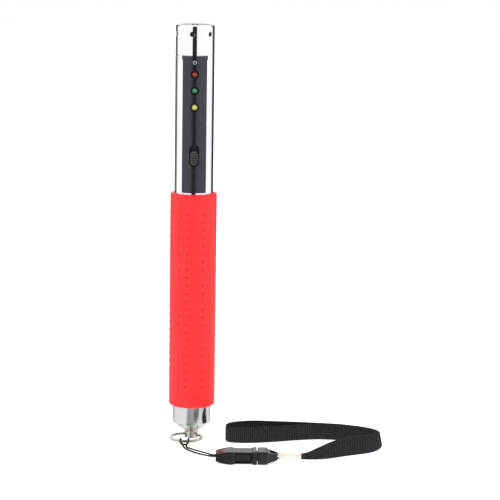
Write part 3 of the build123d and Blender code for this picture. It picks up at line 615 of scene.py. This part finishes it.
def web_strip(edges, full_width, lanes=12):
    """A ribbed strip of webbing between a lower and an upper edge line, in millimetres."""
    stations = catmull_rom([[*low, *high] for low, high in edges], station_step)
    travelled = 0.0
    vertices, lengthwise, crosswise = [], [], []
    around = 2 * (lanes + 1)
    for index, station in enumerate(stations):
        low, high = Vector(station[:3]), Vector(station[3:])
        before = Vector(stations[max(index - 1, 0)][:3])
        after = Vector(stations[min(index + 1, len(stations) - 1)][:3])
        travelled += (low - before).length
        across = high - low
        normal = (after - before).cross(across).normalized()
        opened = (across.length - gathered_width) / (full_width - gathered_width)
        fold = max(0.0, 1 - opened) ** 2
        rib = rib_depth * math.cos(2 * math.pi * travelled / rib_pitch)
        half = web_thick / 2 - gathered_thinning * fold
        front, back = [], []
        for lane in range(lanes + 1):
            v = lane / lanes
            edge = 1 - (2 * abs(v - 0.5)) ** 8 * edge_thinning
            pleat = pleat_depth * fold * math.sin(4 * math.pi * v)
            middle = low + across * v + normal * pleat
            front.append(middle + normal * (half * edge + rib * edge))
            back.append(middle - normal * (half * edge - rib * edge))
        vertices += [point * MM for point in front + back[::-1]]
        lengthwise += [travelled * MM] * around
        lane_places = [lane / lanes * full_width * MM for lane in range(lanes + 1)]
        crosswise += lane_places + lane_places[::-1]
    count = len(stations)
    faces = ring_faces(count, around)
    last = (count - 1) * around
    for lane in range(lanes):
        opposite = around - 1 - lane
        faces.append((lane + 1, lane, opposite, opposite - 1))
        faces.append((last + lane, last + lane + 1, last + opposite - 1, last + opposite))
    return vertices, faces, travelled, (lengthwise, crosswise)


# Half the distance between the middles of the doubled strap's two layers.
layer_clearance = 0.12
layer_gap = web_thick / 2 + layer_clearance
outer_run = offset_pair(pair_edges, layer_gap)
inner_run = offset_pair(pair_edges, -layer_gap)
strip_edges = [*outer_run, *loop_edges, *reversed(inner_run)]
strap_points, strap_faces, strap_length, strap_yarns = web_strip(strip_edges, web_width)

# The strap's turn round the plug's bar, folded narrow.
bar_half_width = 2.5
bar_x = ferrule_left - 2.1
bar_reach = 1.9
bar_rise = 2.0
bar_angles = [math.radians(35 + 29 * step) for step in range(11)]
bar_turn = [(bar_x + bar_reach * math.cos(a), gather_z + bar_rise * math.sin(a)) for a in bar_angles]
bar_edges = [((x, gather_y - bar_half_width, z), (x, gather_y + bar_half_width, z)) for x, z in bar_turn]
bar_points, bar_faces, bar_length, bar_yarns = web_strip(bar_edges, 2 * bar_half_width, lanes=6)
strap_faces += [tuple(index + len(strap_points) for index in face) for face in bar_faces]
strap = add_mesh("wrist_webbing", strap_points + bar_points, strap_faces, webbing_cloth())
store(strap, "lengthwise", strap_yarns[0] + bar_yarns[0])
store(strap, "crosswise", strap_yarns[1] + bar_yarns[1])
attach(strap, "strap")
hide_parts("wrist_strap")


# ---- lanyard cord -------------------------------------------------------------------------
# The same route as the CAD cord's, in metres: out of the buckle, round the split ring and back.
cord_d = 1.3 * MM
cord_route = (
    (0.0184, -0.0736, 0.0046),
    (0.0152, -0.0736, 0.0046),
    (0.0106, -0.0629, 0.0026),
    (0.0050, -0.0544, 0.0014),
    (-0.0018, -0.0434, 0.0009),
    (-0.0053, -0.0366, 0.0008),
    (-0.0064, -0.0300, 0.00075),
    (-0.0070, -0.0250, 0.00075),
    (-0.0076, -0.0201, 0.00075),
    (-0.0084, -0.0201, 0.00445),
    (-0.0087, -0.0243, 0.00445),
    (-0.0087, -0.0272, 0.0029),
    (-0.0076, -0.0310, 0.0023),
    (-0.0052, -0.0326, 0.0023),
    (-0.0030, -0.0306, 0.0025),
    (-0.0020, -0.0272, 0.0031),
    (-0.0021, -0.0249, 0.00445),
    (-0.0023, -0.0209, 0.00445),
    (-0.0029, -0.0209, 0.00075),
    (-0.0033, -0.0254, 0.00075),
    (-0.0039, -0.0300, 0.00075),
    (-0.0036, -0.0362, 0.0012),
    (-0.0006, -0.0426, 0.0021),
    (0.0062, -0.0536, 0.0029),
    (0.0118, -0.0621, 0.0040),
    (0.0152, -0.0724, 0.0054),
    (0.0184, -0.0724, 0.0054),
)

curve = bpy.data.curves.new("cord_line", "CURVE")
curve.dimensions = "3D"
curve.resolution_u = 12
curve.bevel_depth = cord_d / 2
curve.bevel_resolution = 4
curve.use_fill_caps = True
spline = curve.splines.new("NURBS")
spline.points.add(len(cord_route) - 1)
for point, place in zip(spline.points, cord_route):
    point.co = (*place, 1.0)
spline.order_u = 3
spline.use_endpoint_u = True
curve.materials.append(braided_cord())
cord = bpy.data.objects.new("cord_line", curve)
bpy.context.scene.collection.objects.link(cord)
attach(cord, "ring")
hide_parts("lanyard_cord")


# ---- stage, light and camera --------------------------------------------------------------
def backdrop_white():
    """White paper that glows a little, so the background stays near white."""
    paint = Paint("stage_white", (0.93, 0.93, 0.93), 0.0, 0.9)
    paint.colour(paint.mottle(6, 3, (0.92, 0.92, 0.92), (0.94, 0.94, 0.94)))
    paint.put("Emission Color", (1, 1, 1, 1))
    paint.put("Emission Strength", paper_glow)
    return paint.material


paper_glow = 0.6
stage_half = 6.0
floor_corners = [(x * stage_half, y * stage_half, 0) for x, y in ((-1, -1), (1, -1), (1, 1), (-1, 1))]
floor = add_mesh("stage_floor", floor_corners, [(0, 1, 2, 3)], backdrop_white(), smooth=False)
floor.visible_glossy = False


def azimuth_ramp(tree, vector, stops):
    """Grey level by azimuth in degrees from the front (-Y) towards +X, and the vector's height."""
    split = tree.nodes.new("ShaderNodeSeparateXYZ")
    tree.links.new(vector, split.inputs[0])
    forwards = tree.nodes.new("ShaderNodeMath")
    forwards.operation = "MULTIPLY"
    forwards.inputs[1].default_value = -1.0
    tree.links.new(split.outputs["Y"], forwards.inputs[0])
    angle = tree.nodes.new("ShaderNodeMath")
    angle.operation = "ARCTAN2"
    tree.links.new(split.outputs["X"], angle.inputs[0])
    tree.links.new(forwards.outputs[0], angle.inputs[1])
    turn = tree.nodes.new("ShaderNodeMapRange")
    turn.inputs["From Min"].default_value = -math.pi
    turn.inputs["From Max"].default_value = math.pi
    tree.links.new(angle.outputs[0], turn.inputs["Value"])
    ramp = tree.nodes.new("ShaderNodeValToRGB")
    tree.links.new(turn.outputs["Result"], ramp.inputs["Fac"])
    elements = ramp.color_ramp.elements
    while len(elements) < len(stops):
        elements.new(0.5)
    for element, (degrees, level) in zip(elements, stops):
        element.position = (degrees + 180) / 360
        element.color = (level, level, level, 1)
    return ramp.outputs["Color"], split.outputs["Z"]


def fade(tree, height, low, high, below, above):
    """Blend from the colour below to the colour above as a direction rises from low to high."""
    rise = tree.nodes.new("ShaderNodeMapRange")
    rise.inputs["From Min"].default_value = low
    rise.inputs["From Max"].default_value = high
    tree.links.new(height, rise.inputs["Value"])
    mix = tree.nodes.new("ShaderNodeMixRGB")
    tree.links.new(rise.outputs["Result"], mix.inputs["Fac"])
    tree.links.new(below, mix.inputs["Color1"])
    if isinstance(above, tuple):
        mix.inputs["Color2"].default_value = above
    else:
        tree.links.new(above, mix.inputs["Color2"])
    return mix.outputs["Color"]


# What lights the object and shows in its polished parts, as grey levels by azimuth in degrees:
# white walls and ceiling, a dark gap in front where the photographer stands, a dark surround low
# down behind the object, and two dark corners that reach higher. The camera sees plain white.
low_studio = (
    (-180, 0.30), (-172, 0.16), (-128, 0.13), (-120, 1.0), (-17, 1.0), (-13, 0.02),
    (9, 0.02), (13, 1.0), (121, 1.0), (128, 0.05), (172, 0.04), (180, 0.20),
)
side_studio = (
    (-180, 1.0), (-166, 1.0), (-162, 0.13), (-128, 0.13), (-120, 1.0), (-17, 1.0), (-13, 0.02),
    (9, 0.02), (13, 1.0), (121, 1.0), (128, 0.05), (162, 0.04), (166, 1.0), (180, 1.0),
)
high_studio = ((-180, 1.0), (-17, 1.0), (-13, 0.02), (9, 0.02), (13, 1.0), (180, 1.0))
# Sines of the elevations at which one part of the surroundings gives way to the next.
surround_top = (0.035, 0.060)
side_top = (0.50, 0.60)
gap_top = (0.80, 0.92)
studio_strength = 1.12
world = bpy.data.worlds.new("soft_studio")
bpy.context.scene.world = world
world.use_nodes = True
sky = world.node_tree
sky.nodes.clear()
direction = sky.nodes.new("ShaderNodeTexCoord").outputs["Generated"]
low_colour, rise = azimuth_ramp(sky, direction, low_studio)
side_colour, _ = azimuth_ramp(sky, direction, side_studio)
high_colour, _ = azimuth_ramp(sky, direction, high_studio)
walls = fade(sky, rise, *side_top, fade(sky, rise, *surround_top, low_colour, side_colour), high_colour)
seen = sky.nodes.new("ShaderNodeLightPath")
background = sky.nodes.new("ShaderNodeBackground")
background.inputs["Strength"].default_value = studio_strength
sky.links.new(fade(sky, rise, *gap_top, walls, (1, 1, 1, 1)), background.inputs["Color"])
plain = sky.nodes.new("ShaderNodeBackground")
plain.inputs["Color"].default_value = (1, 1, 1, 1)
choice = sky.nodes.new("ShaderNodeMixShader")
world_out = sky.nodes.new("ShaderNodeOutputWorld")
sky.links.new(seen.outputs["Is Camera Ray"], choice.inputs[0])
sky.links.new(background.outputs[0], choice.inputs[1])
sky.links.new(plain.outputs[0], choice.inputs[2])
sky.links.new(choice.outputs[0], world_out.inputs["Surface"])

# The table top as the polished parts mirror it: a glowing card that paints this reflection, with painted
# shade in front of the baton.
painted_table_reflection = (
    (-180, 0.45), (-130, 0.55), (-100, 0.86), (-32, 0.90), (-24, 0.55), (-20, 0.22), (-15, 0.36),
    (10, 0.42), (24, 0.60), (36, 0.90), (100, 0.92), (140, 0.55), (180, 0.45),
)
mirrored = bpy.data.materials.new("mirrored_table")
mirrored.use_nodes = True
table_tree = mirrored.node_tree
table_tree.nodes.clear()
place = table_tree.nodes.new("ShaderNodeTexCoord").outputs["Object"]
glow = table_tree.nodes.new("ShaderNodeEmission")
glow.inputs["Strength"].default_value = 1.0
table_tree.links.new(azimuth_ramp(table_tree, place, painted_table_reflection)[0], glow.inputs["Color"])
table_out = table_tree.nodes.new("ShaderNodeOutputMaterial")
table_tree.links.new(glow.outputs[0], table_out.inputs["Surface"])
table_r = 0.9
table_z = -0.5 * MM
table_sides = 64
table_turns = [2 * math.pi * side / table_sides for side in range(table_sides)]
table_ring = [(table_r * math.cos(turn), table_r * math.sin(turn), table_z) for turn in table_turns]
table = add_mesh("mirrored_table", table_ring, [tuple(range(table_sides))], mirrored, smooth=False)
# Only reflections see it.
table.visible_camera = False
table.visible_diffuse = False
table.visible_shadow = False
table.visible_transmission = False


def soft_light(name, place, aim, size, power):
    """A round area light, size in metres and power in watts, hidden from reflections."""
    data = bpy.data.lights.new(name, "AREA")
    data.shape = "DISK"
    data.size = size
    data.energy = power
    light = bpy.data.objects.new(name, data)
    light.location = place
    light.rotation_euler = (Vector(aim) - Vector(place)).to_track_quat("-Z", "Y").to_euler()
    light.visible_glossy = False
    bpy.context.scene.collection.objects.link(light)


soft_light("key", place=(-0.9, -1.3, 1.5), aim=(0, 0, 0.15), size=1.2, power=9)
soft_light("fill", place=(1.2, -1.0, 1.1), aim=(0, 0, 0.1), size=1.4, power=6)

# The photo's view: a long lens from 1.5 m in front. The ratio is focal length to picture width.
focal_ratio = 3.908
sensor_width = 36.0
camera_place = (0.0, -1.5, 0.404)
camera_yaw = math.radians(1.69)
camera_pitch = math.radians(9.6)
camera_roll = math.radians(0.84)
camera_data = bpy.data.cameras.new("photo_view")
camera_data.sensor_width = sensor_width
camera_data.lens = sensor_width * focal_ratio
camera = bpy.data.objects.new("photo_view", camera_data)
camera.location = camera_place
tilt = Euler((math.pi / 2 - camera_pitch, 0, -camera_yaw), "XYZ").to_matrix().to_4x4()
camera.matrix_world = Matrix.Translation(camera_place) @ tilt @ Matrix.Rotation(camera_roll, 4, "Z")
bpy.context.scene.collection.objects.link(camera)
bpy.context.scene.camera = camera
bpy.context.scene.view_settings.view_transform = "Standard"
